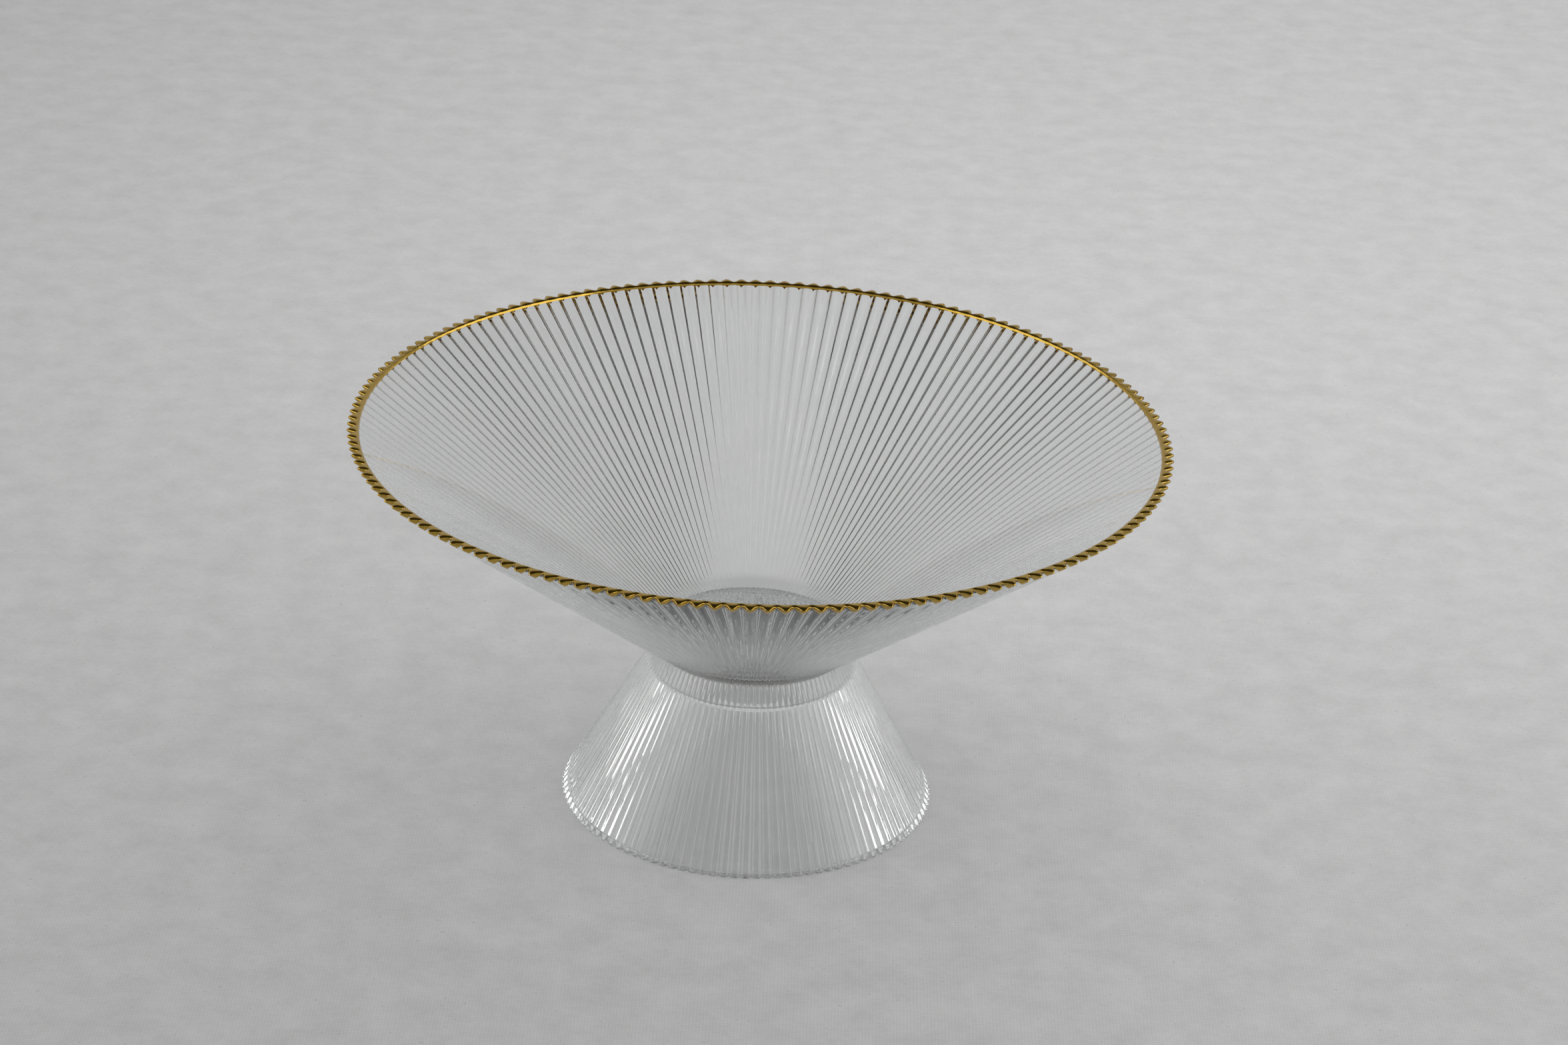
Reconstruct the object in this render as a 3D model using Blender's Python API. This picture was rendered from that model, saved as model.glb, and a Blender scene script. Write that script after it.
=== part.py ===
"""Footed bowl of clear ribbed glass with a gilded scalloped lip.

Metres, +Z up. The origin is the centre of the ground ring, on the surface the foot
stands on, and Z is the axis of both cones. The two pressed glass pieces are bonded
base to base by a clear disc, and the gilding is a skin on the lip of the bowl.
"""

import math

import bmesh
import bpy

# Overall sizes.
RIM_RADIUS = 0.140  # axis to the outside of the gilding on a rib
HEIGHT = 0.139  # ground to the top of the gilding
FOOT_RADIUS = 0.0657  # axis to a rib crest at the ground
FOOT_HEIGHT = 0.0569  # ground to the top face of the foot
WAIST_RADIUS = 0.0335  # axis to a rib crest where the two pieces meet

# Glass thicknesses. Widths are measured level, from the inside face to a rib crest.
LIP_WIDTH = 0.0034
FLOOR_THICKNESS = 0.0080
FLOOR_WALL_WIDTH = 0.0075
FOOT_WALL_WIDTH = 0.0045
FOOT_TOP_THICKNESS = 0.0085

# Ribs run down the outside of each piece and get narrower and shallower to the waist.
BOWL_RIBS = 160
BOWL_RIB_DEPTH = 0.0022  # level, at the lip
FOOT_RIBS = 110
FOOT_RIB_DEPTH = 0.0008  # level, at the ground

# The clear bond and the gilding.
BOND_THICKNESS = 0.0004
BOND_INSET = 0.0008  # waist crest to the edge of the bond
GILD_THICKNESS = 0.0003
GILD_DROP_ON_RIB = 0.0028  # below the lip face
GILD_DROP_IN_GROOVE = 0.0010
GILD_INSET = 0.0002  # inside edge of the lip to the edge of the gilding

# Clearance between touching pieces, square to their faces.
GAP = 0.0003

# Heights and radii that follow from the sizes above.
BOND_Z = FOOT_HEIGHT + GAP
BOWL_BASE_Z = BOND_Z + BOND_THICKNESS + GAP
FLOOR_Z = BOWL_BASE_Z + FLOOR_THICKNESS
LIP_Z = HEIGHT - GILD_THICKNESS - GAP
CEILING_Z = FOOT_HEIGHT - FOOT_TOP_THICKNESS

# A step square to the wall is this much longer measured level.
WALL_RISE = HEIGHT - BOWL_BASE_Z
WALL_RUN = RIM_RADIUS - WAIST_RADIUS
LEVEL_SHARE = math.hypot(WALL_RISE, WALL_RUN) / WALL_RISE
SIDE_GAP = GAP * LEVEL_SHARE
GILD_WIDTH = GILD_THICKNESS * LEVEL_SHARE
LIP_RUN = (HEIGHT - LIP_Z) * WALL_RUN / WALL_RISE
LIP_RADIUS = RIM_RADIUS - GILD_WIDTH - SIDE_GAP - LIP_RUN

# One half-round rib, from its groove line on: (share of the pitch, share of the depth).
RIB_STEPS = ((0.0, 0.0), (0.1, 0.46), (0.28, 0.87), (0.5, 1.0), (0.72, 0.87), (0.9, 0.46))
BOND_SIDES = 96
ROUND_EDGE_ANGLE = math.radians(30)

CLEAR_GLASS = {"colour": (0.80, 0.88, 0.88), "roughness": 0.03, "clear": 1.0}
CLEAR_BOND = {"colour": (0.86, 0.86, 0.82), "roughness": 0.05, "clear": 1.0}
BRIGHT_GOLD = {"colour": (0.72, 0.48, 0.14), "roughness": 0.12, "metallic": 1.0}


def clear_scene():
    """Empty the scene of whatever it starts with."""
    for thing in list(bpy.data.objects):
        bpy.data.objects.remove(thing, do_unlink=True)


def finish_material(name, colour, roughness, metallic=0.0, clear=0.0):
    """Return a Principled material with plain values."""
    material = bpy.data.materials.new(name)
    material.use_nodes = True
    shader = material.node_tree.nodes["Principled BSDF"]
    shader.inputs["Base Color"].default_value = (*colour, 1.0)
    shader.inputs["Roughness"].default_value = roughness
    shader.inputs["Metallic"].default_value = metallic
    shader.inputs["Transmission Weight"].default_value = clear
    return material


def between(start, end, share):
    """Return the value that lies this share of the way from start to end."""
    return start + (end - start) * share


def bowl_crest_radius(z):
    """Return the radius of the bowl's rib crests at height z."""
    share = (z - BOWL_BASE_Z) / (LIP_Z - BOWL_BASE_Z)
    return between(WAIST_RADIUS, LIP_RADIUS, share)


def foot_crest_radius(z):
    """Return the radius of the foot's rib crests at height z."""
    return between(FOOT_RADIUS, WAIST_RADIUS, z / FOOT_HEIGHT)


def rib_stations(ribs):
    """Return (angle, height share) for each line drawn along the ribs."""
    pitch = math.tau / ribs
    return [
        ((rib + share - 0.5) * pitch, height)
        for rib in range(ribs)
        for share, height in RIB_STEPS
    ]


def ribbed_ring(bm, stations, crest, depth, z):
    """Add a ring of points that dips by depth in each groove."""
    ring = []
    for angle, height in stations:
        radius = crest - depth * (1.0 - height)
        ring.append(bm.verts.new((radius * math.cos(angle), radius * math.sin(angle), z)))
    return ring


def round_ring(bm, stations, radius, z):
    """Add a plain ring with one point for each groove line."""
    return [
        bm.verts.new((radius * math.cos(angle), radius * math.sin(angle), z))
        for angle, height in stations
        if height == 0.0
    ]


def join_rings(bm, lower, upper):
    """Close the band between two rings, each with a whole number of points per rib."""
    ribs = math.gcd(len(lower), len(upper))
    low_step = len(lower) // ribs
    high_step = len(upper) // ribs
    for rib in range(ribs):
        low = [lower[(rib * low_step + step) % len(lower)] for step in range(low_step + 1)]
        high = [upper[(rib * high_step + step) % len(upper)] for step in range(high_step + 1)]
        if low_step == high_step:
            for step in range(low_step):
                bm.faces.new((low[step], low[step + 1], high[step + 1], high[step]))
        else:
            bm.faces.new(low + high[::-1])


def cap_ring(bm, ring, z):
    """Close a ring with a fan of triangles about the axis."""
    centre = bm.verts.new((0.0, 0.0, z))
    for index, corner in enumerate(ring):
        bm.faces.new((corner, ring[(index + 1) % len(ring)], centre))


def place_object(name, bm, material):
    """Turn the mesh to face outwards, shade it and put it in the scene."""
    bmesh.ops.recalc_face_normals(bm, faces=bm.faces)
    bmesh.ops.triangulate(bm, faces=bm.faces)
    mesh = bpy.data.meshes.new(name)
    bm.to_mesh(mesh)
    bm.free()
    mesh.shade_smooth()
    mesh.set_sharp_from_angle(angle=ROUND_EDGE_ANGLE)
    mesh.materials.append(material)
    piece = bpy.data.objects.new(name, mesh)
    bpy.context.scene.collection.objects.link(piece)
    return piece


def build_bowl():
    """Build the pressed glass cone with a flat floor and ribs down its outside."""
    bm = bmesh.new()
    stations = rib_stations(BOWL_RIBS)
    depth_share = BOWL_RIB_DEPTH / LIP_RADIUS
    base = ribbed_ring(bm, stations, WAIST_RADIUS, WAIST_RADIUS * depth_share, BOWL_BASE_Z)
    lip = ribbed_ring(bm, stations, LIP_RADIUS, BOWL_RIB_DEPTH, LIP_Z)
    inside_lip = round_ring(bm, stations, LIP_RADIUS - LIP_WIDTH, LIP_Z)
    floor_radius = bowl_crest_radius(FLOOR_Z) - FLOOR_WALL_WIDTH
    floor_edge = round_ring(bm, stations, floor_radius, FLOOR_Z)
    cap_ring(bm, base, BOWL_BASE_Z)
    join_rings(bm, base, lip)
    join_rings(bm, lip, inside_lip)
    join_rings(bm, inside_lip, floor_edge)
    cap_ring(bm, floor_edge, FLOOR_Z)
    return place_object("bowl", bm, finish_material("bowl_glass", **CLEAR_GLASS))


def build_foot():
    """Build the ribbed glass cone that is closed above and hollow below."""
    bm = bmesh.new()
    stations = rib_stations(FOOT_RIBS)
    depth_share = FOOT_RIB_DEPTH / FOOT_RADIUS
    top = ribbed_ring(bm, stations, WAIST_RADIUS, WAIST_RADIUS * depth_share, FOOT_HEIGHT)
    ground = ribbed_ring(bm, stations, FOOT_RADIUS, FOOT_RIB_DEPTH, 0.0)
    mouth = round_ring(bm, stations, FOOT_RADIUS - FOOT_WALL_WIDTH, 0.0)
    ceiling_radius = foot_crest_radius(CEILING_Z) - FOOT_WALL_WIDTH
    ceiling = round_ring(bm, stations, ceiling_radius, CEILING_Z)
    cap_ring(bm, top, FOOT_HEIGHT)
    join_rings(bm, top, ground)
    join_rings(bm, ground, mouth)
    join_rings(bm, mouth, ceiling)
    cap_ring(bm, ceiling, CEILING_Z)
    return place_object("foot", bm, finish_material("foot_glass", **CLEAR_GLASS))


def build_bond():
    """Build the thin clear disc that holds the bowl on the foot."""
    bm = bmesh.new()
    bmesh.ops.create_cone(
        bm,
        cap_ends=True,
        segments=BOND_SIDES,
        radius1=WAIST_RADIUS - BOND_INSET,
        radius2=WAIST_RADIUS - BOND_INSET,
        depth=BOND_THICKNESS,
    )
    bmesh.ops.translate(bm, verts=bm.verts, vec=(0.0, 0.0, BOND_Z + BOND_THICKNESS / 2))
    return place_object("bond_disc", bm, finish_material("clear_bond", **CLEAR_BOND))


def gild_lower_ring(bm, stations, stand_off):
    """Add a ring along the lower edge, which hangs lower on a rib than in a groove."""
    ring = []
    depth_share = BOWL_RIB_DEPTH / LIP_RADIUS
    for angle, height in stations:
        z = LIP_Z - between(GILD_DROP_IN_GROOVE, GILD_DROP_ON_RIB, height)
        glass = bowl_crest_radius(z) * (1.0 - depth_share * (1.0 - height))
        radius = glass + stand_off
        ring.append(bm.verts.new((radius * math.cos(angle), radius * math.sin(angle), z)))
    return ring


def build_gilding():
    """Build the gold skin over the lip face and the upper ends of the ribs."""
    bm = bmesh.new()
    stations = rib_stations(BOWL_RIBS)
    back_z = LIP_Z + GAP
    inner_radius = LIP_RADIUS - LIP_WIDTH + GILD_INSET
    inner_top = round_ring(bm, stations, inner_radius, HEIGHT)
    outer_top = ribbed_ring(bm, stations, RIM_RADIUS, BOWL_RIB_DEPTH, HEIGHT)
    lower_outside = gild_lower_ring(bm, stations, SIDE_GAP + GILD_WIDTH)
    lower_inside = gild_lower_ring(bm, stations, SIDE_GAP)
    back_radius = bowl_crest_radius(back_z) + SIDE_GAP
    back_corner = ribbed_ring(bm, stations, back_radius, BOWL_RIB_DEPTH, back_z)
    inner_back = round_ring(bm, stations, inner_radius, back_z)
    rings = (inner_top, outer_top, lower_outside, lower_inside, back_corner, inner_back)
    for index, ring in enumerate(rings):
        join_rings(bm, ring, rings[(index + 1) % len(rings)])
    return place_object("lip_gilding", bm, finish_material("bright_gold", **BRIGHT_GOLD))


def main():
    """Build the four pieces in the order they are put together."""
    clear_scene()
    build_foot()
    build_bond()
    build_bowl()
    build_gilding()


main()
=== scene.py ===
"""Looks for a footed bowl of clear ribbed glass with a gilded scalloped lip.

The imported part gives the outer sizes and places, and the classes below add what its
plain solids leave out, in metres. Each pressed glass is drawn as one rib sector, which
Geometry Nodes repeats round the axis. The gilding follows the same rib section over the
lip, and the bond is a film of clear adhesive at the waist.
"""

import logging
import math
from dataclasses import dataclass
from enum import Enum
from typing import Any, Sequence

import bmesh
import bpy
from mathutils import Matrix, Vector


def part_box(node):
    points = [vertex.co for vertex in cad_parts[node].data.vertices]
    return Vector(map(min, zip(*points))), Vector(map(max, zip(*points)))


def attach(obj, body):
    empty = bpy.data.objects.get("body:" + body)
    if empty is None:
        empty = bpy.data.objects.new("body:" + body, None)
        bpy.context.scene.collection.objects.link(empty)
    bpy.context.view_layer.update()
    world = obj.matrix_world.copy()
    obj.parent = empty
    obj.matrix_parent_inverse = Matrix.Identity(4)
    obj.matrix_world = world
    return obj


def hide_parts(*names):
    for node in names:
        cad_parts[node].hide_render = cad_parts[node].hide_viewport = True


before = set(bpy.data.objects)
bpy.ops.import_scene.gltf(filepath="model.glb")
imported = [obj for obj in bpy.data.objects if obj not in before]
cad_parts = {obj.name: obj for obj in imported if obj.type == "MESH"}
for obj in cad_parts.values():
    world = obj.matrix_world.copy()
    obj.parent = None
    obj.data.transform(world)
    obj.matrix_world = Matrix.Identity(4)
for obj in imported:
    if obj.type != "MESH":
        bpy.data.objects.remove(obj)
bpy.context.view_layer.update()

logging.basicConfig(level=logging.INFO, format="%(name)s: %(message)s")
LOG = logging.getLogger("footed_bowl")

BODY = "root"
SMOOTH_ANGLE = math.radians(50)  # sharper edges than this are kept as edges
LEVEL = 0.000001  # a face this near a height counts as level with it
GUARD = 0.0002  # from the end of a straight line to its guard point
SPECK = 0.0000005  # shorter edges than this are closed up


class Slot(Enum):
    """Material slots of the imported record."""

    GLASS = "clear_glass"
    BOND = "clear_bond"
    GOLD = "bright_gold"


def srgb(code: str) -> tuple[float, float, float, float]:
    """Turn an sRGB hex colour into linear RGBA.

    Args:
        code: Six hex digits after a hash sign.

    Returns:
        Red, green, blue and alpha, each 0 to 1.
    """
    channels = [int(code[start:start + 2], 16) / 255 for start in (1, 3, 5)]
    linear = [c / 12.92 if c <= 0.04045 else ((c + 0.055) / 1.055) ** 2.4 for c in channels]
    return (linear[0], linear[1], linear[2], 1.0)


def add_node(
    tree: bpy.types.NodeTree,
    kind: str,
    settings: dict[str, Any] | None = None,
    inputs: dict[Any, Any] | None = None,
) -> bpy.types.Node:
    """Add one node with its settings, its input values and its links.

    Args:
        tree: The tree that the node goes in.
        kind: The node's type.
        settings: Property names and values.
        inputs: Input names or numbers, each with a value or with a socket to link.

    Returns:
        The new node.
    """
    node = tree.nodes.new(kind)
    for name, value in (settings or {}).items():
        setattr(node, name, value)
    for key, value in (inputs or {}).items():
        if isinstance(value, bpy.types.NodeSocket):
            tree.links.new(value, node.inputs[key])
        else:
            node.inputs[key].default_value = value
    return node


# ---------------------------------------------------------------- finishes


def clear_output(tree: bpy.types.NodeTree, surface: bpy.types.NodeSocket) -> None:
    """End a clear material, which lets lamps light what stands behind it.

    Args:
        tree: The material's tree.
        surface: The shader that the eye sees.
    """
    lamp_ray = add_node(tree, "ShaderNodeLightPath").outputs["Is Shadow Ray"]
    passed = add_node(tree, "ShaderNodeBsdfTransparent", {}, {"Color": srgb("#FEFEFE")})
    mixed = add_node(
        tree,
        "ShaderNodeMixShader",
        {},
        {0: lamp_ray, 1: surface, 2: passed.outputs["BSDF"]},
    )
    add_node(tree, "ShaderNodeOutputMaterial", {}, {"Surface": mixed.outputs["Shader"]})


@dataclass(frozen=True)
class PressedGlass:
    """Clear soda-lime glass, pressed in a ribbed mould and fire-polished.

    It gives the eye sharp, bright refraction, a slight waviness from the mould, and a
    faint aqua tint that gets deeper with each face that the light goes through.
    """

    name: str = "pressed_soda_lime_glass"
    surface: str = "#FFFFFF"
    surface_shade: str = "#FBFEFD"
    roughness: float = 0.02
    ior: float = 1.52
    wave_length: float = 0.011
    wave_height: float = 0.000001
    ripple_length: float = 0.0016
    ripple_height: float = 0.00000003

    def build(self) -> bpy.types.Material:
        """Build the material.

        Returns:
            Fire-polished glass with mould waviness in Object coordinates.
        """
        material = bpy.data.materials.new(self.name)
        material.use_nodes = True
        tree = material.node_tree
        tree.nodes.clear()
        place = add_node(tree, "ShaderNodeTexCoord").outputs["Object"]
        # Mould waviness about 11 mm across, and the 1.6 mm ripple of the fire polish.
        wave = add_node(
            tree,
            "ShaderNodeTexNoise",
            {"noise_dimensions": "3D"},
            {"Vector": place, "Scale": 1 / self.wave_length, "Detail": 1.0, "Roughness": 0.4},
        ).outputs["Fac"]
        ripple = add_node(
            tree,
            "ShaderNodeTexNoise",
            {"noise_dimensions": "3D"},
            {"Vector": place, "Scale": 1 / self.ripple_length, "Detail": 0.0},
        ).outputs["Fac"]
        waviness = add_node(
            tree,
            "ShaderNodeBump",
            {},
            {"Height": wave, "Distance": self.wave_height, "Strength": 1.0},
        ).outputs["Normal"]
        normal = add_node(
            tree,
            "ShaderNodeBump",
            {},
            {
                "Height": ripple,
                "Distance": self.ripple_height,
                "Strength": 1.0,
                "Normal": waviness,
            },
        ).outputs["Normal"]
        colour = add_node(
            tree,
            "ShaderNodeMix",
            {"data_type": "RGBA"},
            {"Factor": wave, "A": srgb(self.surface), "B": srgb(self.surface_shade)},
        ).outputs[2]
        shader = add_node(
            tree,
            "ShaderNodeBsdfPrincipled",
            {},
            {
                "Base Color": colour,
                "Roughness": self.roughness,
                "IOR": self.ior,
                "Transmission Weight": 1.0,
                "Normal": normal,
            },
        )
        clear_output(tree, shader.outputs["BSDF"])
        return material


@dataclass(frozen=True)
class CuredAdhesive:
    """Clear adhesive cured under ultraviolet light, and the glass faces it wets.

    It gives the eye a clear joint. No air lies between the glass and the film, so light
    goes straight on, and the index is the one next to glass.
    """

    name: str = "clear_uv_adhesive"
    surface: str = "#FFFFFF"
    surface_shade: str = "#FCFDFC"
    ior: float = 1.0
    flow_length: float = 0.0012

    def build(self) -> bpy.types.Material:
        """Build the material.

        Returns:
            Clear film with small flow marks in Object coordinates.
        """
        material = bpy.data.materials.new(self.name)
        material.use_nodes = True
        tree = material.node_tree
        tree.nodes.clear()
        place = add_node(tree, "ShaderNodeTexCoord").outputs["Object"]
        # Flow marks from pressing the joint together, about 1.2 mm across.
        flow = add_node(
            tree,
            "ShaderNodeTexNoise",
            {"noise_dimensions": "3D"},
            {"Vector": place, "Scale": 1 / self.flow_length, "Detail": 2.0},
        ).outputs["Fac"]
        colour = add_node(
            tree,
            "ShaderNodeMix",
            {"data_type": "RGBA"},
            {"Factor": flow, "A": srgb(self.surface), "B": srgb(self.surface_shade)},
        ).outputs[2]
        shader = add_node(
            tree,
            "ShaderNodeBsdfPrincipled",
            {},
            {
                "Base Color": colour,
                "Roughness": 0.0,
                "IOR": self.ior,
                "Transmission Weight": 1.0,
            },
        )
        clear_output(tree, shader.outputs["BSDF"])
        return material


@dataclass(frozen=True)
class LiquidGold:
    """Bright liquid gold, brushed on the lip and fired.

    It gives the eye a mirror of deep yellow that goes olive where it shows grey, with
    slightly thicker, duller passages where the brush laid more.
    """

    name: str = "fired_bright_gold"
    bright: str = "#CFAB4C"
    deep: str = "#AD8C38"
    glossiest: float = 0.05
    dullest: float = 0.15
    brush_length: float = 0.004
    grain_length: float = 0.0006
    grain_height: float = 0.000006

    def build(self) -> bpy.types.Material:
        """Build the material.

        Returns:
            Polished metal whose colour, gloss and surface vary with the brush work.
        """
        material = bpy.data.materials.new(self.name)
        material.use_nodes = True
        tree = material.node_tree
        tree.nodes.clear()
        place = add_node(tree, "ShaderNodeTexCoord").outputs["Object"]
        # Brush marks 4 mm long.
        brush = add_node(
            tree,
            "ShaderNodeTexNoise",
            {"noise_dimensions": "3D"},
            {"Vector": place, "Scale": 1 / self.brush_length, "Detail": 3.0},
        ).outputs["Fac"]
        # Fired grain of 0.6 mm, drawn coarser than real so that it shows.
        grain = add_node(
            tree,
            "ShaderNodeTexNoise",
            {"noise_dimensions": "3D"},
            {"Vector": place, "Scale": 1 / self.grain_length, "Detail": 1.0},
        ).outputs["Fac"]
        colour = add_node(
            tree,
            "ShaderNodeMix",
            {"data_type": "RGBA"},
            {"Factor": brush, "A": srgb(self.bright), "B": srgb(self.deep)},
        ).outputs[2]
        rough = add_node(
            tree,
            "ShaderNodeMapRange",
            {},
            {
                "Value": brush,
                "From Min": 0.3,
                "From Max": 0.7,
                "To Min": self.glossiest,
                "To Max": self.dullest,
            },
        ).outputs["Result"]
        normal = add_node(
            tree,
            "ShaderNodeBump",
            {},
            {"Height": grain, "Distance": self.grain_height, "Strength": 0.6},
        ).outputs["Normal"]
        shader = add_node(
            tree,
            "ShaderNodeBsdfPrincipled",
            {},
            {
                "Base Color": colour,
                "Metallic": 1.0,
                "Roughness": rough,
                "Normal": normal,
            },
        )
        add_node(
            tree, "ShaderNodeOutputMaterial", {}, {"Surface": shader.outputs["BSDF"]}
        )
        return material


@dataclass(frozen=True)
class PaleCloth:
    """Plain pale grey cotton cloth under the object.

    It gives the eye a matt, quiet ground with a faint weave, soft creases and slubs.
    """

    name: str = "pale_cotton_cloth"
    light: str = "#D2D2D2"
    dark: str = "#B2B2B2"
    thread: float = 0.0011
    slub_length: float = 1 / 420
    patch_length: float = 1 / 60
    weave_share: float = 0.55
    roughness: float = 0.9
    crease_length: float = 0.05
    crease_height: float = 0.0004

    def build(self) -> bpy.types.Material:
        """Build the material.

        Returns:
            Matt cloth with a plain weave of two crossed thread waves.
        """
        material = bpy.data.materials.new(self.name)
        material.use_nodes = True
        tree = material.node_tree
        tree.nodes.clear()
        place = add_node(tree, "ShaderNodeTexCoord").outputs["Object"]
        # Denser and thinner passages about 17 mm across.
        patches = add_node(
            tree,
            "ShaderNodeTexNoise",
            {"noise_dimensions": "3D"},
            {
                "Vector": place,
                "Scale": 1 / self.patch_length,
                "Detail": 5.0,
                "Roughness": 0.65,
            },
        ).outputs["Fac"]
        # Slubs in the yarn about 2.4 mm long.
        slubs = add_node(
            tree,
            "ShaderNodeTexNoise",
            {"noise_dimensions": "3D"},
            {"Vector": place, "Scale": 1 / self.slub_length, "Detail": 2.0},
        ).outputs["Fac"]
        # Threads 1.1 mm apart, drawn coarser than the real 0.8 mm so that they show. The
        # Wave node's own wave is a twentieth of tau long at scale 1.
        weft, warp = (
            add_node(
                tree,
                "ShaderNodeTexWave",
                {"bands_direction": direction},
                {"Vector": place, "Scale": math.tau / 20 / self.thread, "Distortion": 1.5},
            ).outputs["Fac"]
            for direction in ("Y", "X")
        )
        weave = add_node(
            tree, "ShaderNodeMath", {"operation": "MULTIPLY_ADD"}, {0: warp, 1: 0.5, 2: weft}
        ).outputs[0]
        rough_weave = add_node(
            tree, "ShaderNodeMath", {"operation": "MULTIPLY"}, {0: weave, 1: slubs}
        ).outputs[0]
        mottle = add_node(
            tree,
            "ShaderNodeMath",
            {"operation": "MULTIPLY_ADD", "use_clamp": True},
            {0: rough_weave, 1: self.weave_share, 2: patches},
        ).outputs[0]
        # The strongest slubs show as darker specks.
        specks = add_node(
            tree,
            "ShaderNodeMapRange",
            {"clamp": True},
            {
                "Value": slubs,
                "From Min": 0.64,
                "From Max": 0.74,
                "To Min": 1.0,
                "To Max": 0.45,
            },
        ).outputs["Result"]
        tone = add_node(
            tree, "ShaderNodeMath", {"operation": "MULTIPLY"}, {0: mottle, 1: specks}
        ).outputs[0]
        colour = add_node(
            tree,
            "ShaderNodeMix",
            {"data_type": "RGBA"},
            {"Factor": tone, "A": srgb(self.dark), "B": srgb(self.light)},
        ).outputs[2]
        creases = add_node(
            tree,
            "ShaderNodeTexNoise",
            {"noise_dimensions": "3D"},
            {
                "Vector": place,
                "Scale": 1 / self.crease_length,
                "Detail": 3.0,
                "Distortion": 1.2,
            },
        ).outputs["Fac"]
        normal = add_node(
            tree,
            "ShaderNodeBump",
            {},
            {"Height": creases, "Distance": self.crease_height, "Strength": 1.0},
        ).outputs["Normal"]
        shader = add_node(
            tree,
            "ShaderNodeBsdfPrincipled",
            {},
            {
                "Base Color": colour,
                "Roughness": self.roughness,
                "Specular IOR Level": 0.2,
                "Normal": normal,
            },
        )
        add_node(
            tree, "ShaderNodeOutputMaterial", {}, {"Surface": shader.outputs["BSDF"]}
        )
        return material


# ---------------------------------------------------------------- ribbed glass

GROOVE_DEPTH = "groove_depth"
GROOVE_DIP = "groove_dip"
REACH = "reach"
WANDER_WAVES = 1.3  # scale of the wander's noise, on a circle of radius 1


@dataclass(frozen=True)
class ProfilePoint:
    """One point of a turned profile, on a rib's crest.

    All four are in metres. groove_depth says how much nearer the axis the groove beside
    this point lies, and groove_dip how much lower.
    """

    radius: float
    height: float
    groove_depth: float = 0.0
    groove_dip: float = 0.0


@dataclass(frozen=True)
class Rounding:
    """An arc that rounds a corner: its radius, and the steps that it is drawn in."""

    radius: float
    steps: int


def along(start: ProfilePoint, end: ProfilePoint, steps: int) -> list[ProfilePoint]:
    """Space points on the straight line that leads from start to end.

    A guard point close to each end keeps the line's own shading from bending into the
    curve that comes before or after it.

    Args:
        start: The point that the line leaves, not included.
        end: Last point, included.
        steps: Number of equal steps.

    Returns:
        The points in order.
    """
    edge = GUARD / math.hypot(end.radius - start.radius, end.height - start.height)
    inner = [index / steps for index in range(1, steps)]
    points = []
    for share in (edge, *inner, 1 - edge, 1.0):
        points.append(
            ProfilePoint(
                start.radius + (end.radius - start.radius) * share,
                start.height + (end.height - start.height) * share,
                start.groove_depth + (end.groove_depth - start.groove_depth) * share,
                start.groove_dip + (end.groove_dip - start.groove_dip) * share,
            )
        )
    return points


def fillet(
    before: tuple[float, float],
    corner: tuple[float, float],
    after: tuple[float, float],
    rounding: Rounding,
) -> list[tuple[float, float]]:
    """Round a corner with an arc that touches both of its sides.

    Args:
        before: A point on the side that comes first.
        corner: The sharp corner.
        after: A point on the side that comes next.
        rounding: The arc.

    Returns:
        The points of the arc, from the first side to the next.
    """
    apex = Vector(corner)
    first = (Vector(before) - apex).normalized()
    second = (Vector(after) - apex).normalized()
    half = first.angle(second) / 2
    middle = apex + (first + second).normalized() * (rounding.radius / math.sin(half))
    start = apex + first * (rounding.radius / math.tan(half)) - middle
    turn = math.pi - 2 * half
    if start.cross(apex - middle) < 0:
        turn = -turn
    points = []
    for index in range(rounding.steps + 1):
        angle = turn * index / rounding.steps
        spoke = Vector(
            (
                start.x * math.cos(angle) - start.y * math.sin(angle),
                start.x * math.sin(angle) + start.y * math.cos(angle),
            )
        )
        points.append(tuple(middle + spoke))
    return points


def profile_mesh(name: str, points: Sequence[ProfilePoint]) -> bpy.types.Mesh:
    """Make a chain of edges that carries its grooves and the length along it.

    Args:
        name: Name of the mesh.
        points: The profile, in order.

    Returns:
        A mesh with one point for each profile point, in the XZ plane.
    """
    mesh = bpy.data.meshes.new(name)
    mesh.from_pydata(
        [(point.radius, 0.0, point.height) for point in points],
        [(index, index + 1) for index in range(len(points) - 1)],
        [],
    )
    reach = [0.0]
    for before, after in zip(points, points[1:]):
        step = math.hypot(after.radius - before.radius, after.height - before.height)
        reach.append(reach[-1] + step)
    for attribute, values in (
        (GROOVE_DEPTH, [point.groove_depth for point in points]),
        (GROOVE_DIP, [point.groove_dip for point in points]),
        (REACH, reach),
    ):
        mesh.attributes.new(attribute, "FLOAT", "POINT").data.foreach_set("value", values)
    return mesh


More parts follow.
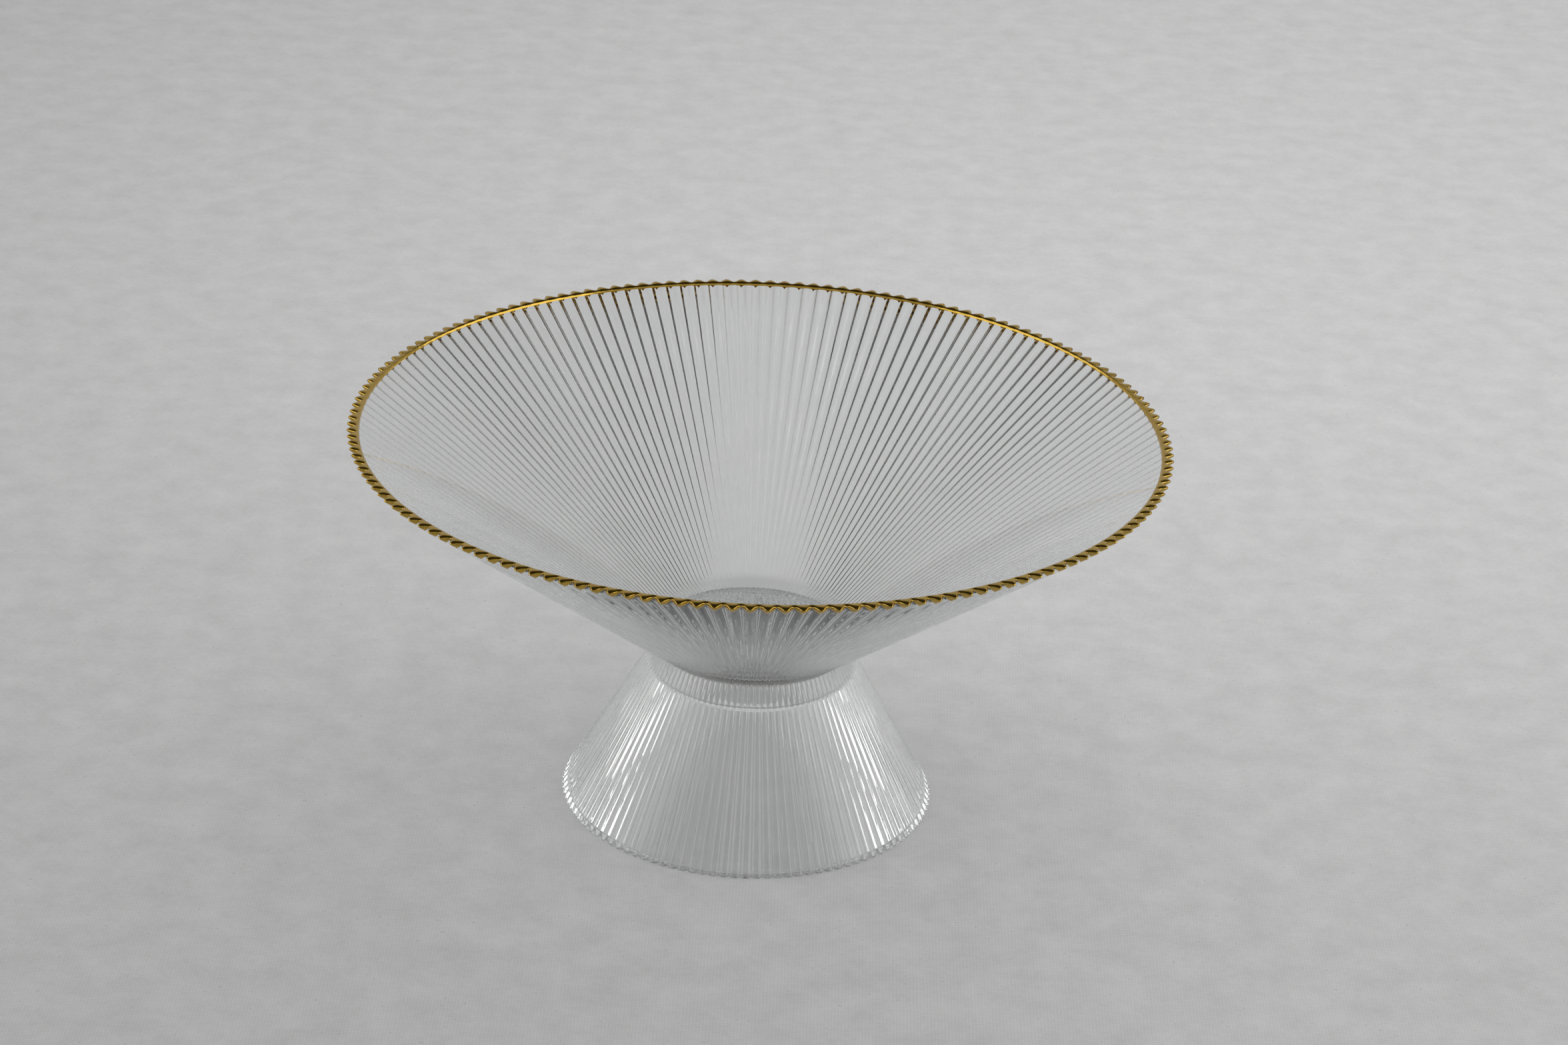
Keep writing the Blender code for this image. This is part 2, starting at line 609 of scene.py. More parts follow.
class RibTree:
    """Geometry Nodes that turn one profile into a ribbed piece.

    The tree draws one rib sector as a grid, pulls its points in towards the grooves,
    repeats it round the axis, closes the seams and lets the ribs wander a little.
    """

    SIZES = (
        ("Ribs", "NodeSocketInt", 160),
        ("Steps Across Rib", "NodeSocketInt", 12),
        ("Crest Roundness", "NodeSocketFloat", 1.0),
        ("Edge Rise", "NodeSocketFloat", 0.0),
        ("Wander", "NodeSocketFloat", 0.002),
        ("Seam Distance", "NodeSocketFloat", 0.000002),
        ("Seed", "NodeSocketFloat", 4.0),
        ("Finish", "NodeSocketMaterial", None),
    )

    def __init__(self) -> None:
        """Build the node group once, for every ribbed piece."""
        self.group = bpy.data.node_groups.new("rib_sector_round_axis", "GeometryNodeTree")
        face = self.group.interface
        face.new_socket("Geometry", in_out="INPUT", socket_type="NodeSocketGeometry")
        for name, kind, value in self.SIZES:
            socket = face.new_socket(name, in_out="INPUT", socket_type=kind)
            if value is not None:
                socket.default_value = value
        face.new_socket("Geometry", in_out="OUTPUT", socket_type="NodeSocketGeometry")
        self._fill()

    def _fill(self) -> None:
        """Lay out the nodes of the group."""
        tree = self.group
        given = add_node(tree, "NodeGroupInput").outputs
        pitch = add_node(
            tree, "ShaderNodeMath", {"operation": "DIVIDE"}, {0: math.tau, 1: given["Ribs"]}
        ).outputs[0]
        sector = self._sector(given, pitch)
        turned = self._repeat(given, pitch, sector)
        closed = add_node(
            tree,
            "GeometryNodeMergeByDistance",
            {},
            {"Geometry": turned, "Distance": given["Seam Distance"]},
        ).outputs["Geometry"]
        wandering = self._wander(given, closed)
        smooth = add_node(
            tree, "GeometryNodeSetShadeSmooth", {}, {"Geometry": wandering}
        ).outputs["Geometry"]
        dressed = add_node(
            tree,
            "GeometryNodeSetMaterial",
            {},
            {"Geometry": smooth, "Material": given["Finish"]},
        ).outputs["Geometry"]
        add_node(tree, "NodeGroupOutput", {}, {"Geometry": dressed})

    def _sector(self, given: Any, pitch: bpy.types.NodeSocket) -> bpy.types.NodeSocket:
        """Draw one rib sector from the profile.

        Args:
            given: The group's input sockets.
            pitch: The angle from one rib to the next.

        Returns:
            The sector's geometry, centred on the XZ plane.
        """
        tree = self.group
        long_way = add_node(
            tree, "GeometryNodeAttributeDomainSize", {}, {"Geometry": given["Geometry"]}
        ).outputs["Point Count"]
        across = add_node(
            tree, "ShaderNodeMath", {"operation": "ADD"}, {0: given["Steps Across Rib"], 1: 1.0}
        ).outputs[0]
        grid = add_node(
            tree,
            "GeometryNodeMeshGrid",
            {},
            {"Vertices X": across, "Vertices Y": long_way},
        ).outputs["Mesh"]
        # The grid counts its points up one line along the rib after another.
        index = add_node(tree, "GeometryNodeInputIndex").outputs[0]
        lines = add_node(
            tree, "ShaderNodeMath", {"operation": "DIVIDE"}, {0: index, 1: long_way}
        ).outputs[0]
        column = add_node(tree, "ShaderNodeMath", {"operation": "FLOOR"}, {0: lines}).outputs[0]
        row = add_node(
            tree, "ShaderNodeMath", {"operation": "MODULO"}, {0: index, 1: long_way}
        ).outputs[0]
        offset, lack, reach_off = self._rib_section(given, column)
        place, depth, dip = self._on_profile(given, row, reach_off)
        point = add_node(tree, "ShaderNodeSeparateXYZ", {}, {"Vector": place}).outputs
        inwards, downwards = (
            add_node(
                tree, "ShaderNodeMath", {"operation": "MULTIPLY"}, {0: most, 1: lack}
            ).outputs[0]
            for most in (depth, dip)
        )
        radius, height = (
            add_node(
                tree, "ShaderNodeMath", {"operation": "SUBTRACT"}, {0: crest, 1: less}
            ).outputs[0]
            for crest, less in ((point["X"], inwards), (point["Z"], downwards))
        )
        angle = add_node(
            tree, "ShaderNodeMath", {"operation": "MULTIPLY"}, {0: offset, 1: pitch}
        ).outputs[0]
        shares = [
            add_node(tree, "ShaderNodeMath", {"operation": operation}, {0: angle}).outputs[0]
            for operation in ("COSINE", "SINE")
        ]
        ahead, aside = (
            add_node(
                tree, "ShaderNodeMath", {"operation": "MULTIPLY"}, {0: radius, 1: share}
            ).outputs[0]
            for share in shares
        )
        where = add_node(
            tree, "ShaderNodeCombineXYZ", {}, {"X": ahead, "Y": aside, "Z": height}
        ).outputs["Vector"]
        return add_node(
            tree, "GeometryNodeSetPosition", {}, {"Geometry": grid, "Position": where}
        ).outputs["Geometry"]

    def _rib_section(
        self, given: Any, column: bpy.types.NodeSocket
    ) -> tuple[bpy.types.NodeSocket, ...]:
        """Work out the section across one rib.

        Args:
            given: The group's input sockets.
            column: Which line along the rib a point is on, from 0.

        Returns:
            The offset from the crest as a share of the pitch; how near the groove this is,
            0 on the crest and 1 in the groove; and how much shorter the profile is here.
        """
        tree = self.group
        share = add_node(
            tree,
            "ShaderNodeMath",
            {"operation": "DIVIDE"},
            {0: column, 1: given["Steps Across Rib"]},
        ).outputs[0]
        offset = add_node(
            tree, "ShaderNodeMath", {"operation": "SUBTRACT"}, {0: share, 1: 0.5}
        ).outputs[0]
        # One cosine wave to each rib, turned to run from 0 on the crest to 1 in the groove.
        phase = add_node(
            tree, "ShaderNodeMath", {"operation": "MULTIPLY"}, {0: offset, 1: math.tau}
        ).outputs[0]
        wave = add_node(tree, "ShaderNodeMath", {"operation": "COSINE"}, {0: phase}).outputs[0]
        level = add_node(
            tree, "ShaderNodeMath", {"operation": "MULTIPLY_ADD"}, {0: wave, 1: -0.5, 2: 0.5}
        ).outputs[0]
        lack = add_node(
            tree,
            "ShaderNodeMath",
            {"operation": "POWER"},
            {0: level, 1: given["Crest Roundness"]},
        ).outputs[0]
        aside = add_node(
            tree, "ShaderNodeMath", {"operation": "ABSOLUTE"}, {0: offset}
        ).outputs[0]
        groove_share = add_node(
            tree, "ShaderNodeMath", {"operation": "MULTIPLY"}, {0: aside, 1: 2.0}
        ).outputs[0]
        reach_off = add_node(
            tree,
            "ShaderNodeMath",
            {"operation": "MULTIPLY"},
            {0: groove_share, 1: given["Edge Rise"]},
        ).outputs[0]
        return offset, lack, reach_off

    def _on_profile(
        self, given: Any, row: bpy.types.NodeSocket, reach_off: bpy.types.NodeSocket
    ) -> tuple[bpy.types.NodeSocket, ...]:
        """Find a point of the profile by its length from the start.

        Args:
            given: The group's input sockets.
            row: Which profile point, from 0.
            reach_off: How much shorter the profile is here.

        Returns:
            The place on the profile, and the depth and dip of the grooves there.
        """
        tree = self.group
        curve = add_node(
            tree, "GeometryNodeMeshToCurve", {}, {"Mesh": given["Geometry"]}
        ).outputs["Curve"]
        whole = add_node(tree, "GeometryNodeCurveLength", {}, {"Curve": curve}).outputs[0]
        stored = {
            name: add_node(
                tree, "GeometryNodeInputNamedAttribute", {"data_type": "FLOAT"}, {"Name": name}
            ).outputs["Attribute"]
            for name in (GROOVE_DEPTH, GROOVE_DIP, REACH)
        }
        reach = add_node(
            tree,
            "GeometryNodeSampleIndex",
            {"data_type": "FLOAT"},
            {"Geometry": given["Geometry"], "Value": stored[REACH], "Index": row},
        ).outputs["Value"]
        lost = add_node(
            tree, "ShaderNodeMath", {"operation": "DIVIDE"}, {0: reach_off, 1: whole}
        ).outputs[0]
        kept = add_node(
            tree, "ShaderNodeMath", {"operation": "SUBTRACT"}, {0: 1.0, 1: lost}
        ).outputs[0]
        length = add_node(
            tree, "ShaderNodeMath", {"operation": "MULTIPLY"}, {0: reach, 1: kept}
        ).outputs[0]
        depth, dip = (
            add_node(
                tree,
                "GeometryNodeSampleCurve",
                {"data_type": "FLOAT", "mode": "LENGTH"},
                {"Curves": curve, "Value": stored[name], "Length": length},
            ).outputs
            for name in (GROOVE_DEPTH, GROOVE_DIP)
        )
        return depth["Position"], depth["Value"], dip["Value"]

    def _repeat(
        self, given: Any, pitch: bpy.types.NodeSocket, sector: bpy.types.NodeSocket
    ) -> bpy.types.NodeSocket:
        """Repeat the sector once for each rib.

        Args:
            given: The group's input sockets.
            pitch: The angle from one rib to the next.
            sector: The geometry of one sector.

        Returns:
            Real geometry of all the sectors.
        """
        tree = self.group
        centres = add_node(
            tree,
            "GeometryNodeMeshLine",
            {},
            {"Count": given["Ribs"], "Offset": (0.0, 0.0, 0.0)},
        ).outputs["Mesh"]
        index = add_node(tree, "GeometryNodeInputIndex").outputs[0]
        angle = add_node(
            tree, "ShaderNodeMath", {"operation": "MULTIPLY"}, {0: index, 1: pitch}
        ).outputs[0]
        turn = add_node(tree, "ShaderNodeCombineXYZ", {}, {"Z": angle}).outputs["Vector"]
        copies = add_node(
            tree,
            "GeometryNodeInstanceOnPoints",
            {},
            {"Points": centres, "Instance": sector, "Rotation": turn},
        ).outputs["Instances"]
        return add_node(
            tree, "GeometryNodeRealizeInstances", {}, {"Geometry": copies}
        ).outputs["Geometry"]

    def _wander(self, given: Any, whole: bpy.types.NodeSocket) -> bpy.types.NodeSocket:
        """Turn each point a little about the axis, so that the pitch is not perfect.

        Args:
            given: The group's input sockets.
            whole: The geometry of the closed piece.

        Returns:
            The geometry with its slow, seeded wander.
        """
        tree = self.group
        place = add_node(tree, "GeometryNodeInputPosition").outputs[0]
        level = add_node(
            tree, "ShaderNodeVectorMath", {"operation": "MULTIPLY"}, {0: place, 1: (1, 1, 0)}
        ).outputs[0]
        outward = add_node(
            tree, "ShaderNodeVectorMath", {"operation": "NORMALIZE"}, {0: level}
        ).outputs[0]
        slow = add_node(
            tree,
            "ShaderNodeTexNoise",
            {"noise_dimensions": "4D"},
            {"Vector": outward, "W": given["Seed"], "Scale": WANDER_WAVES, "Detail": 0.0},
        ).outputs["Fac"]
        centred = add_node(
            tree, "ShaderNodeMath", {"operation": "SUBTRACT"}, {0: slow, 1: 0.5}
        ).outputs[0]
        angle = add_node(
            tree, "ShaderNodeMath", {"operation": "MULTIPLY"}, {0: centred, 1: given["Wander"]}
        ).outputs[0]
        turned = add_node(
            tree,
            "ShaderNodeVectorRotate",
            {"rotation_type": "Z_AXIS"},
            {"Vector": place, "Angle": angle},
        ).outputs["Vector"]
        return add_node(
            tree, "GeometryNodeSetPosition", {}, {"Geometry": whole, "Position": turned}
        ).outputs["Geometry"]

    def turn_piece(
        self,
        name: str,
        points: Sequence[ProfilePoint],
        sizes: dict[str, Any],
        skin: float = 0.0,
    ) -> bpy.types.Object:
        """Make a ribbed piece from its profile.

        Args:
            name: The piece's name.
            points: Its profile: round a solid from axis to axis, or along a sheet.
            sizes: Values for the tree's named inputs.
            skin: Thickness that a sheet is given, half on each side.

        Returns:
            A plain mesh object that faces outwards.
        """
        drawn = bpy.data.objects.new(f"{name}_profile", profile_mesh(name, points))
        bpy.context.scene.collection.objects.link(drawn)
        modifier = drawn.modifiers.new("ribs", "NODES")
        modifier.node_group = self.group
        sockets = {
            item.name: item.identifier
            for item in self.group.interface.items_tree
            if item.in_out == "INPUT"
        }
        for key, value in sizes.items():
            modifier[sockets[key]] = value
        if skin:
            solid = drawn.modifiers.new("skin", "SOLIDIFY")
            solid.thickness = skin
            solid.offset = 0.0
        drawn.update_tag()
        graph = bpy.context.evaluated_depsgraph_get()
        mesh = bpy.data.meshes.new_from_object(drawn.evaluated_get(graph), depsgraph=graph)
        bpy.data.objects.remove(drawn, do_unlink=True)
        return finished_piece(name, mesh)


def wet_face(
    piece: bpy.types.Object, height: float, radius: float, adhesive: bpy.types.Material
) -> None:
    """Dress the level face that the adhesive wets.

    Args:
        piece: The glass.
        height: Height of its bonded face.
        radius: Radius that the adhesive reaches.
        adhesive: The adhesive finish.
    """
    piece.data.materials.append(adhesive)
    for face in piece.data.polygons:
        if abs(face.center.z - height) < LEVEL and face.center.xy.length < radius:
            face.material_index = 1


def finished_piece(name: str, mesh: bpy.types.Mesh) -> bpy.types.Object:
    """Close, turn outwards and smooth a mesh, and put it in the scene.

    Args:
        name: The piece's name.
        mesh: Its mesh, in the part's own frame.

    Returns:
        The object, at the origin.
    """
    bm = bmesh.new()
    bm.from_mesh(mesh)
    bmesh.ops.dissolve_degenerate(bm, edges=bm.edges, dist=SPECK)
    bmesh.ops.recalc_face_normals(bm, faces=bm.faces)
    if bm.calc_volume(signed=True) < 0:
        bmesh.ops.reverse_faces(bm, faces=bm.faces)
    loose_ends = sum(1 for edge in bm.edges if not edge.is_manifold)
    bm.to_mesh(mesh)
    bm.free()
    mesh.name = name
    for attribute in (GROOVE_DEPTH, GROOVE_DIP, REACH):
        if attribute in mesh.attributes:
            mesh.attributes.remove(mesh.attributes[attribute])
    mesh.shade_smooth()
    mesh.set_sharp_from_angle(angle=SMOOTH_ANGLE)
    piece = bpy.data.objects.new(name, mesh)
    bpy.context.scene.collection.objects.link(piece)
    LOG.info("%s: %d faces, %d open edges", name, len(mesh.polygons), loose_ends)
    return piece


# ---------------------------------------------------------------- the object

BOND_INSET = 0.0008  # from the waist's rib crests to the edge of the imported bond


@dataclass
class Proportions:
    """Sizes that the pieces share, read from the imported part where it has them."""

    rim_radius: float
    height: float
    foot_radius: float
    joint_height: float
    waist_radius: float
    bowl_ribs: int = 160
    foot_ribs: int = 110
    rib_wander: float = 0.02  # radians
    wall_slope: float = 0.758  # rise of the bowl's wall over its run
    joint_gap: float = 0.00006  # between the two glasses' faces

    @classmethod
    def from_frame(cls) -> "Proportions":
        """Read the shared sizes from the nodes' boxes.

        Returns:
            The sizes, in metres.
        """
        gild_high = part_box("lip_gilding")[1]
        foot_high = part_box("foot")[1]
        bond_low, bond_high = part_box("bond_disc")
        return cls(
            rim_radius=gild_high.x,
            height=gild_high.z,
            foot_radius=foot_high.x,
            joint_height=(bond_low.z + bond_high.z) / 2,
            waist_radius=bond_high.x + BOND_INSET,
        )


@dataclass
class GlassBowl:
    """The pressed bowl: a ribbed cone with a thick level floor and a beaded lip."""

    sizes: Proportions
    crest_roundness: float = 1.15
    waist_groove: float = 0.0003
    floor_thickness: float = 0.0080
    floor_wall_width: float = 0.0075
    base_rounding: Rounding = Rounding(0.0004, 4)
    floor_rounding: Rounding = Rounding(0.0060, 6)
    steps_across: int = 12
    wall_steps: int = 4
    floor_steps: int = 3

    @property
    def rib_sizes(self) -> dict[str, Any]:
        """Values for the rib tree that the gilding shares with the glass."""
        return {
            "Ribs": self.sizes.bowl_ribs,
            "Steps Across Rib": self.steps_across,
            "Crest Roundness": self.crest_roundness,
            "Wander": self.sizes.rib_wander,
        }

    @property
    def base_height(self) -> float:
        """Height of the bowl's level underside."""
        return self.sizes.joint_height + self.sizes.joint_gap / 2

    def lip_points(self) -> list[ProfilePoint]:
        """Shape the beaded lip on a rib's crest.

        Returns:
            Points from the outside of the wall, over the bead, to the inside edge.
        """
        rim = self.sizes.rim_radius
        top = self.sizes.height
        # Millimetres: in from the widest point, down from the top, and the groove's depth
        # and dip there.
        bead = (
            (6.40, 5.72, 1.80, 0.00),
            (5.00, 4.66, 1.80, 0.00),
            (3.70, 3.67, 1.80, 0.00),
            (2.95, 3.11, 1.80, 0.00),
            (2.20, 2.54, 1.82, 0.00),
            (1.35, 1.90, 1.88, 0.00),
            (0.62, 1.38, 2.10, 0.00),
            (0.16, 1.00, 2.42, 0.00),
            (0.02, 0.68, 2.58, 0.04),
            (0.36, 0.30, 2.34, 0.16),
            (1.20, 0.06, 1.80, 0.20),
            (2.00, 0.00, 1.30, 0.20),
            (2.80, 0.02, 0.70, 0.14),
            (3.40, 0.10, 0.30, 0.06),
            (3.85, 0.28, 0.08, 0.00),
            (4.10, 0.60, 0.00, 0.00),
            (4.24, 1.15, 0.00, 0.00),
        )
        return [
            ProfilePoint(rim - inwards / 1000, top - down / 1000, depth / 1000, dip / 1000)
            for inwards, down, depth, dip in bead
        ]

    def profile(self) -> list[ProfilePoint]:
        """Draw the whole profile on a rib's crest.

        Returns:
            Points from the axis under the base round to the axis on the floor.
        """
        sizes = self.sizes
        base = self.base_height
        waist = (sizes.waist_radius, base)
        lip = self.lip_points()
        lip_foot = (lip[0].radius, lip[0].height)
        base_arc = fillet((0.0, base), waist, lip_foot, self.base_rounding)
        groove = self.waist_groove
        points = [ProfilePoint(0.0, base), ProfilePoint(waist[0] / 2, base, groove / 2)]
        points += [ProfilePoint(radius, height, groove) for radius, height in base_arc]
        points += along(points[-1], lip[0], self.wall_steps)
        points += lip[1:]
        floor = base + self.floor_thickness
        crest = sizes.waist_radius + self.floor_thickness / sizes.wall_slope
        floor_corner = (crest - self.floor_wall_width, floor)
        inner_edge = (lip[-1].radius, lip[-1].height)
        floor_arc = fillet(inner_edge, floor_corner, (0.0, floor), self.floor_rounding)
        points += along(lip[-1], ProfilePoint(*floor_arc[0]), self.wall_steps)
        points += [ProfilePoint(radius, height) for radius, height in floor_arc[1:]]
        points += along(points[-1], ProfilePoint(0.0, floor), self.floor_steps)
        return points

    def build(
        self, ribs: RibTree, glass: bpy.types.Material, adhesive: bpy.types.Material
    ) -> bpy.types.Object:
        """Make the bowl and put it in place of its solid.

        Args:
            ribs: The tree that repeats the rib sector.
            glass: The glass finish.
            adhesive: The adhesive finish.

        Returns:
            The bowl.
        """
        piece = ribs.turn_piece(
            "pressed_bowl", self.profile(), self.rib_sizes | {"Finish": glass}
        )
        wet_face(piece, self.base_height, self.sizes.waist_radius, adhesive)
        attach(piece, BODY)
        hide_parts("bowl")
        return piece


@dataclass
class GlassFoot:
    """The pressed foot: a ribbed cone, closed above and hollow below."""

    sizes: Proportions
    crest_roundness: float = 2.2
    ground_groove: float = 0.0009
    waist_groove: float = 0.00036
    wall_width: float = 0.0045
    top_thickness: float = 0.0085
    ground_rounding: Rounding = Rounding(0.0006, 5)
    mouth_rounding: Rounding = Rounding(0.0010, 4)
    ceiling_rounding: Rounding = Rounding(0.0020, 5)
    top_rounding: Rounding = Rounding(0.0004, 3)
    steps_across: int = 12
    wall_steps: int = 4
    ceiling_steps: int = 3
    seed: float = 9.0

    @property
    def top_height(self) -> float:
        """Height of the foot's level top face."""
        return self.sizes.joint_height - self.sizes.joint_gap / 2

    def profile(self) -> list[ProfilePoint]:
        """Draw the whole profile on a rib's crest.

        Returns:
            Points from the axis in the ceiling, round the ground ring and over the
            outside to the axis on the top face.
        """
        sizes = self.sizes
        top = (sizes.waist_radius, self.top_height)
        ground = (sizes.foot_radius, 0.0)
        mouth = (sizes.foot_radius - self.wall_width, 0.0)
        ceiling_height = self.top_height - self.top_thickness
        share = ceiling_height / self.top_height
        crest = sizes.foot_radius + (sizes.waist_radius - sizes.foot_radius) * share
        ceiling = (crest - self.wall_width, ceiling_height)
        ceiling_arc = fillet((0.0, ceiling_height), ceiling, mouth, self.ceiling_rounding)
        mouth_arc = fillet(ceiling, mouth, ground, self.mouth_rounding)
        ground_arc = fillet(mouth, ground, top, self.ground_rounding)
        top_arc = fillet(ground, top, (0.0, self.top_height), self.top_rounding)
        points = [ProfilePoint(0.0, ceiling_height)]
        points += along(points[0], ProfilePoint(*ceiling_arc[0]), self.ceiling_steps)
        points += [ProfilePoint(radius, height) for radius, height in ceiling_arc[1:]]
        points += along(points[-1], ProfilePoint(*mouth_arc[0]), self.wall_steps)
        points += [ProfilePoint(radius, height) for radius, height in mouth_arc[1:]]
        low, high = self.ground_groove, self.waist_groove
        points += [ProfilePoint(radius, height, low) for radius, height in ground_arc]
        points += along(points[-1], ProfilePoint(*top_arc[0], high), self.wall_steps)
        points += [ProfilePoint(radius, height, high) for radius, height in top_arc[1:]]
        points.append(ProfilePoint(top[0] / 2, self.top_height, high / 2))
        points.append(ProfilePoint(0.0, self.top_height))
        return points

    def build(
        self, ribs: RibTree, glass: bpy.types.Material, adhesive: bpy.types.Material
    ) -> bpy.types.Object:
        """Make the foot and put it in place of its solid.

        Args:
            ribs: The tree that repeats the rib sector.
            glass: The glass finish.
            adhesive: The adhesive finish.

        Returns:
            The foot.
        """
        piece = ribs.turn_piece(
            "pressed_foot",
            self.profile(),
            {
                "Ribs": self.sizes.foot_ribs,
                "Steps Across Rib": self.steps_across,
                "Crest Roundness": self.crest_roundness,
                "Wander": self.sizes.rib_wander,
                "Seed": self.seed,
                "Finish": glass,
            },
        )
        wet_face(piece, self.top_height, self.sizes.waist_radius, adhesive)
        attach(piece, BODY)
        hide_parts("foot")
        return piece


@dataclass
class BondFilm:
    """The film of clear adhesive, which goes a hair into both glasses' faces."""

    sizes: Proportions
    inset: float = 0.0009
    half_thickness: float = 0.0002
    sides: int = 192

    def build(self, adhesive: bpy.types.Material) -> bpy.types.Object:
        """Make the film and put it in place of its solid.

        Args:
            adhesive: The adhesive finish.

        Returns:
            The film.
        """
        radius = self.sizes.waist_radius - self.inset
        bm = bmesh.new()
        bmesh.ops.create_cone(
            bm,
            cap_ends=True,
            segments=self.sides,
            radius1=radius,
            radius2=radius,
            depth=2 * self.half_thickness,
        )
        bmesh.ops.translate(bm, verts=bm.verts, vec=(0.0, 0.0, self.sizes.joint_height))
        mesh = bpy.data.meshes.new("bond")
        bm.to_mesh(mesh)
        bm.free()
        mesh.materials.append(adhesive)
        piece = finished_piece("bond_film", mesh)
        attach(piece, BODY)
        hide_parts("bond_disc")
        return piece


@dataclass
class LipGilding:
    """The fired gold on the lip and on the upper ends of the ribs."""

    bowl: GlassBowl
    skin: float = 0.00006
    groove_rise: float = 0.0038  # how much sooner the gold ends in a groove
    bare_points: int = 3  # of the lip's points, the lowest outside have no gold

    def profile(self) -> list[ProfilePoint]:
        """Follow the lip on a rib's crest.

        Returns:
            Points from the inside edge of the lip, over the bead, to the lowest gold.
        """
        return self.bowl.lip_points()[self.bare_points:][::-1]

    def build(self, ribs: RibTree, gold: bpy.types.Material) -> bpy.types.Object:
        """Make the gilding and put it in place of its solid.

        Args:
            ribs: The tree that repeats the rib sector.
            gold: The gold finish.

        Returns:
            The gilding.
        """
        piece = ribs.turn_piece(
            "gilded_lip",
            self.profile(),
            self.bowl.rib_sizes | {"Edge Rise": self.groove_rise, "Finish": gold},
            skin=self.skin,
        )
        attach(piece, BODY)
        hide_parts("lip_gilding")
        return piece


# ---------------------------------------------------------------- studio


@dataclass
class Softbox:
    """A rectangular area light that the camera doesn't see, with its power in watts.

    Where it is not mirrored, glass and gold don't show it either.
    """

    name: str
    place: tuple[float, float, float]
    width: float
    height: float
    power: float
    aim: tuple[float, float, float] = (0.0, 0.0, 0.08)
    mirrored: bool = True

    def build(self) -> bpy.types.Object:
        """Put the light in the scene, turned towards its aim.

        Returns:
            The light.
        """
        data = bpy.data.lights.new(self.name, "AREA")
        data.shape = "RECTANGLE"
        data.size = self.width
        data.size_y = self.height
        data.energy = self.power
        lamp = bpy.data.objects.new(self.name, data)
        lamp.location = self.place
        way = Vector(self.aim) - Vector(self.place)
        lamp.rotation_euler = way.to_track_quat("-Z", "Y").to_euler()
        lamp.visible_camera = False
        lamp.visible_glossy = self.mirrored
        lamp.visible_transmission = self.mirrored
        bpy.context.scene.collection.objects.link(lamp)
        return lamp


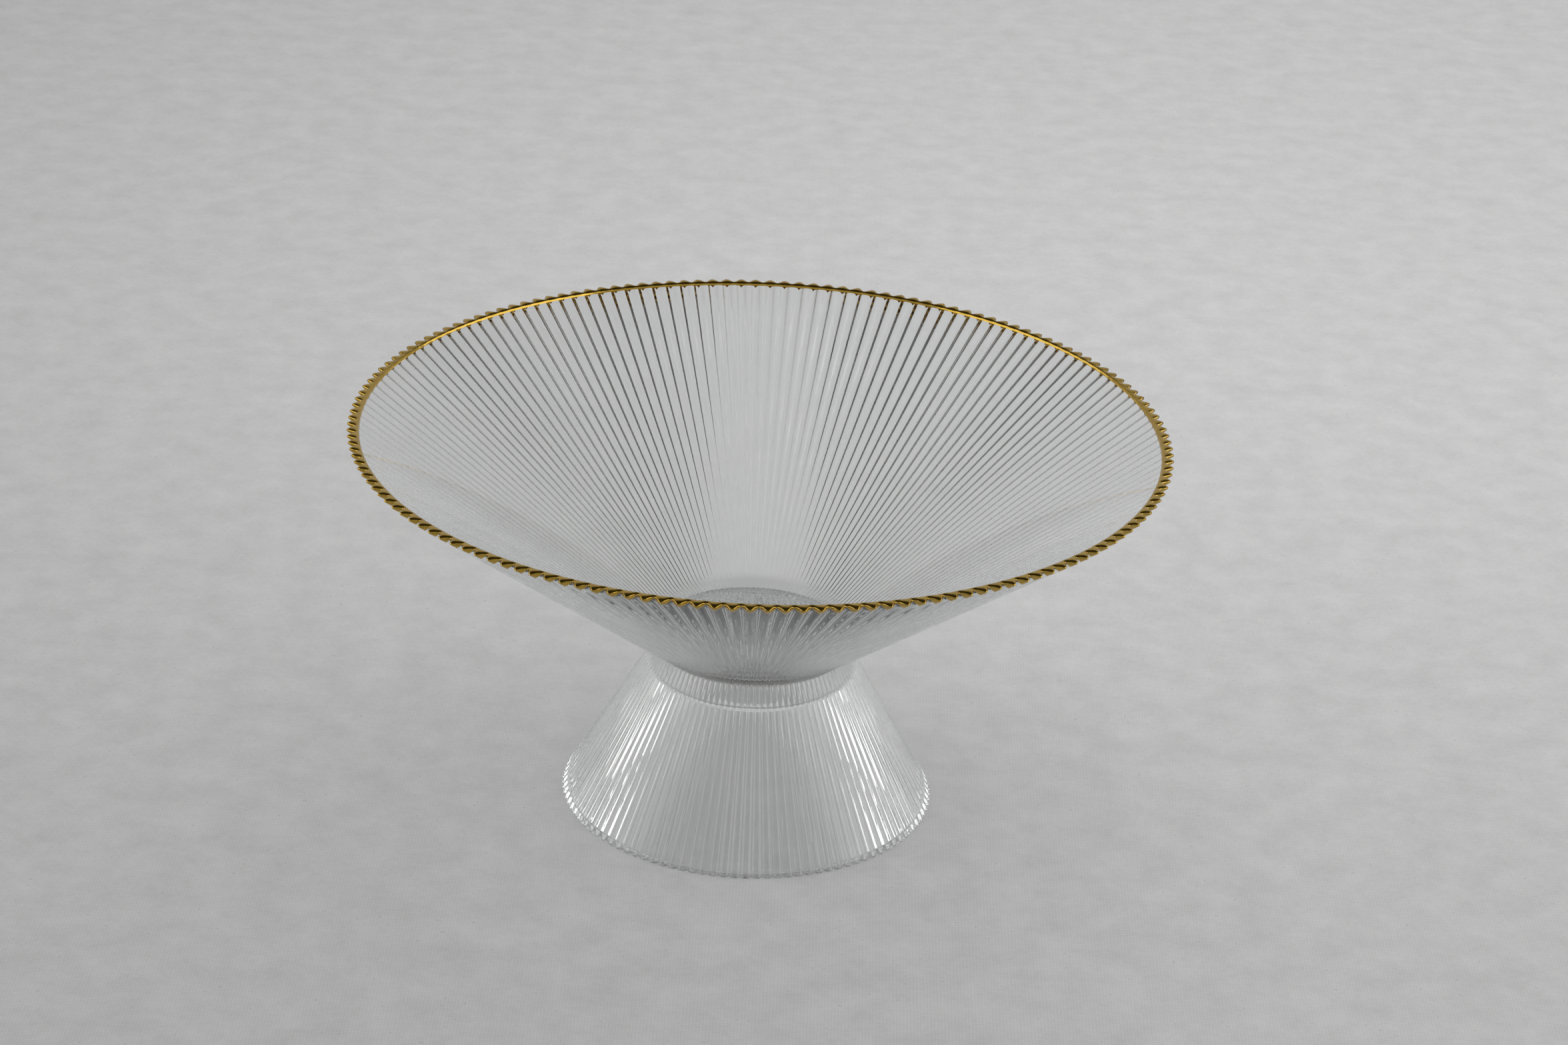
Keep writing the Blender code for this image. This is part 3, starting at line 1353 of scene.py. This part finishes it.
@dataclass
class Studio:
    """Pale cloth floor, soft light and the camera, whose angles are in degrees."""

    floor_radius: float = 6.0
    camera_place: tuple[float, float, float] = (0.0128, -1.1669, 0.6428)
    camera_turn: float = -0.18
    camera_down: float = 24.79
    camera_roll: float = 2.63
    lens: float = 85.9
    walls: str = "#BABABA"
    ceiling: str = "#3A3938"
    walls_end: float = 0.4  # sine of the elevation where the walls begin to darken
    ceiling_starts: float = 0.75

    def build(self) -> None:
        """Build the floor, the lights, the surroundings and the camera."""
        self._floor()
        for box in (
            Softbox("softbox_left", (-1.8, -0.1, 0.6), 2.3, 1.1, 8.8),
            Softbox("softbox_right", (1.8, -0.1, 0.6), 2.3, 1.1, 10.6),
            Softbox("top_fill", (0.2, 0.3, 1.0), 0.8, 0.8, 5.4, (0.15, 0.25, 0.0), False),
            Softbox("back_fill", (0.6, 2.2, 1.5), 1.4, 1.4, 22.0, (0.5, 1.2, 0.0), False),
        ):
            box.build()
        self._surroundings()
        self._camera()
        self._light_paths()

    def _floor(self) -> None:
        """Lay a round sheet of pale cloth."""
        bm = bmesh.new()
        bmesh.ops.create_circle(bm, cap_ends=True, segments=96, radius=self.floor_radius)
        mesh = bpy.data.meshes.new("cloth_floor")
        bm.to_mesh(mesh)
        bm.free()
        mesh.materials.append(PaleCloth().build())
        floor = bpy.data.objects.new("cloth_floor", mesh)
        bpy.context.scene.collection.objects.link(floor)

    def _surroundings(self) -> None:
        """Surround the scene with a pale room whose ceiling is dark."""
        world = bpy.data.worlds.new("studio_room")
        world.use_nodes = True
        tree = world.node_tree
        tree.nodes.clear()
        way = add_node(tree, "ShaderNodeTexCoord").outputs["Generated"]
        part = add_node(tree, "ShaderNodeSeparateXYZ", {}, {"Vector": way}).outputs
        pale = add_node(
            tree,
            "ShaderNodeMapRange",
            {"clamp": True, "interpolation_type": "SMOOTHSTEP"},
            {
                "Value": part["Z"],
                "From Min": self.walls_end,
                "From Max": self.ceiling_starts,
                "To Min": 1.0,
                "To Max": 0.0,
            },
        ).outputs["Result"]
        colour = add_node(
            tree,
            "ShaderNodeMix",
            {"data_type": "RGBA"},
            {"Factor": pale, "A": srgb(self.ceiling), "B": srgb(self.walls)},
        ).outputs[2]
        glow = add_node(
            tree, "ShaderNodeBackground", {}, {"Color": colour, "Strength": 1.0}
        ).outputs["Background"]
        add_node(tree, "ShaderNodeOutputWorld", {}, {"Surface": glow})
        bpy.context.scene.world = world

    def _camera(self) -> None:
        """Aim the camera from in front and above."""
        data = bpy.data.cameras.new("camera")
        data.sensor_width = 36.0
        data.lens = self.lens
        data.clip_start = 0.05
        data.clip_end = 50.0
        turn = math.radians(self.camera_turn)
        down = math.radians(self.camera_down)
        roll = math.radians(self.camera_roll)
        ahead = Vector(
            (math.sin(turn) * math.cos(down), math.cos(turn) * math.cos(down), -math.sin(down))
        )
        level = Vector((math.cos(turn), -math.sin(turn), 0.0))
        upward = level.cross(ahead)
        right = level * math.cos(roll) + upward * math.sin(roll)
        top = upward * math.cos(roll) - level * math.sin(roll)
        camera = bpy.data.objects.new("camera", data)
        camera.matrix_world = Matrix.LocRotScale(
            Vector(self.camera_place), Matrix((right, top, -ahead)).transposed(), None
        )
        bpy.context.scene.collection.objects.link(camera)
        bpy.context.scene.camera = camera

    def _light_paths(self) -> None:
        """Let light pass through many glass faces, and show colours as they are."""
        scene = bpy.context.scene
        scene.view_settings.view_transform = "Standard"
        scene.cycles.max_bounces = 32
        scene.cycles.transmission_bounces = 32
        scene.cycles.glossy_bounces = 16
        scene.cycles.diffuse_bounces = 4
        scene.cycles.transparent_max_bounces = 16
        scene.cycles.caustics_refractive = False
        scene.cycles.caustics_reflective = False


def main() -> None:
    """Build the pieces in the order they are put together, then the studio."""
    sizes = Proportions.from_frame()
    ribs = RibTree()
    glass = PressedGlass().build()
    adhesive = CuredAdhesive().build()
    GlassFoot(sizes).build(ribs, glass, adhesive)
    BondFilm(sizes).build(adhesive)
    bowl = GlassBowl(sizes)
    bowl.build(ribs, glass, adhesive)
    LipGilding(bowl).build(ribs, LiquidGold().build())
    Studio().build()


if __name__ == "__main__":
    main()
